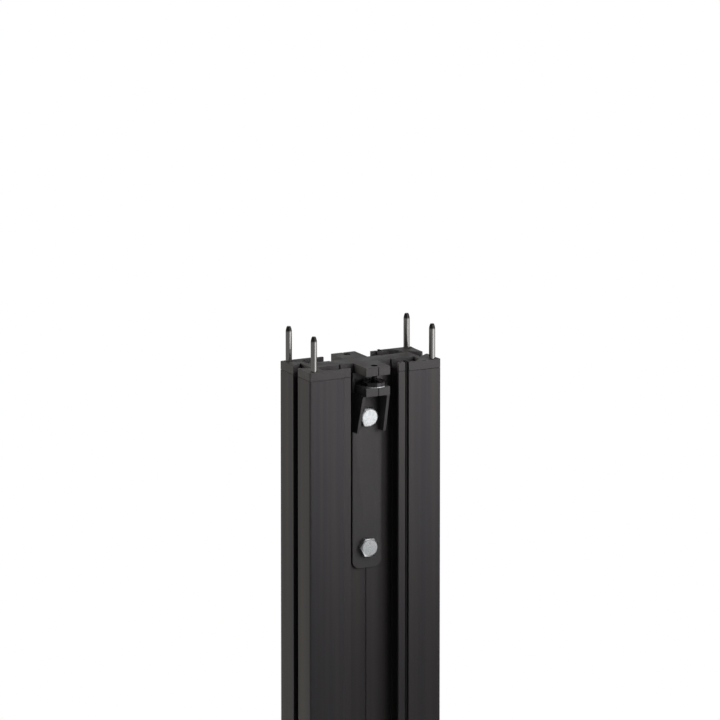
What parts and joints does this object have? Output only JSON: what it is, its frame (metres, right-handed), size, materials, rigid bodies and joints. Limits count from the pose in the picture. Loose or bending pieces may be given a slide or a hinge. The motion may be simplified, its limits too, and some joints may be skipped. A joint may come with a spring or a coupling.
{
  "type": "lighting truss section",
  "caption": "Black extruded truss section: slotted columns on a hollow web, end plates with arms, alignment pins, bolted coupling brackets and captive hand-wheel screws.",
  "frame": {"origin": "middle of the lower end face", "axes": "+Z along the beam to the pinned end, +X across the two columns to the one with the seal grooves, +Y from the front, with the bolt heads, to the back"},
  "size_m": [0.1398, 0.0784, 0.634],
  "materials": {
    "black_anodised": "satin anodised",
    "black_powder_coat": "fine satin powder coat",
    "zinc_plated_steel": "bright zinc plate",
    "ground_steel": "centreless ground",
    "burnished_steel": "turned and blackened",
    "seal_rubber": "matt"
  },
  "bodies": {
    "beam": {"beam_extrusion": "black_anodised", "end_plate_top": "black_powder_coat", "end_plate_bottom": "black_powder_coat", "alignment_pin_front_left": "ground_steel", "alignment_pin_front_right": "ground_steel", "alignment_pin_back_left": "ground_steel", "alignment_pin_back_right": "ground_steel", "bracket_top_front": "black_powder_coat", "bracket_top_back": "black_powder_coat", "bracket_bottom_front": "black_powder_coat", "bracket_bottom_back": "black_powder_coat", "shelf_block_top_front": "black_powder_coat", "shelf_block_top_back": "black_powder_coat", "shelf_block_bottom_front": "black_powder_coat", "shelf_block_bottom_back": "black_powder_coat", "bolt_top_upper": "zinc_plated_steel", "bolt_top_lower": "zinc_plated_steel", "bolt_bottom_upper": "zinc_plated_steel", "bolt_bottom_lower": "zinc_plated_steel", "nut_top_upper": "zinc_plated_steel", "nut_top_lower": "zinc_plated_steel", "nut_bottom_upper": "zinc_plated_steel", "nut_bottom_lower": "zinc_plated_steel", "washer_top_upper": "zinc_plated_steel", "washer_top_lower": "zinc_plated_steel", "washer_bottom_upper": "zinc_plated_steel", "washer_bottom_lower": "zinc_plated_steel", "sleeve_top_upper": "zinc_plated_steel", "sleeve_top_lower": "zinc_plated_steel", "sleeve_bottom_upper": "zinc_plated_steel", "sleeve_bottom_lower": "zinc_plated_steel", "seal_strip_front": "seal_rubber", "seal_strip_back": "seal_rubber", "thread_insert_front": "zinc_plated_steel", "thread_insert_back": "zinc_plated_steel"},
    "lift_front": {"thrust_washer_front": "zinc_plated_steel"},
    "lift_back": {"thrust_washer_back": "zinc_plated_steel"},
    "screw_front": {"coupling_screw_front": "burnished_steel"},
    "screw_back": {"coupling_screw_back": "burnished_steel"}
  },
  "joints": [
    {"name": "front_screw_lift", "type": "slide", "parent": "beam", "child": "lift_front", "axis": [0, 0, 1], "range_m": [0, 0.0056]},
    {"name": "front_screw_spin", "type": "hinge", "parent": "lift_front", "child": "screw_front", "pos_m": [0, -0.028, 0.58], "axis": [0, 0, 1], "continuous": true},
    {"name": "back_screw_lift", "type": "slide", "parent": "beam", "child": "lift_back", "axis": [0, 0, 1], "range_m": [0, 0.0056]},
    {"name": "back_screw_spin", "type": "hinge", "parent": "lift_back", "child": "screw_back", "pos_m": [0, 0.028, 0.58], "axis": [0, 0, 1], "continuous": true}
  ]
}
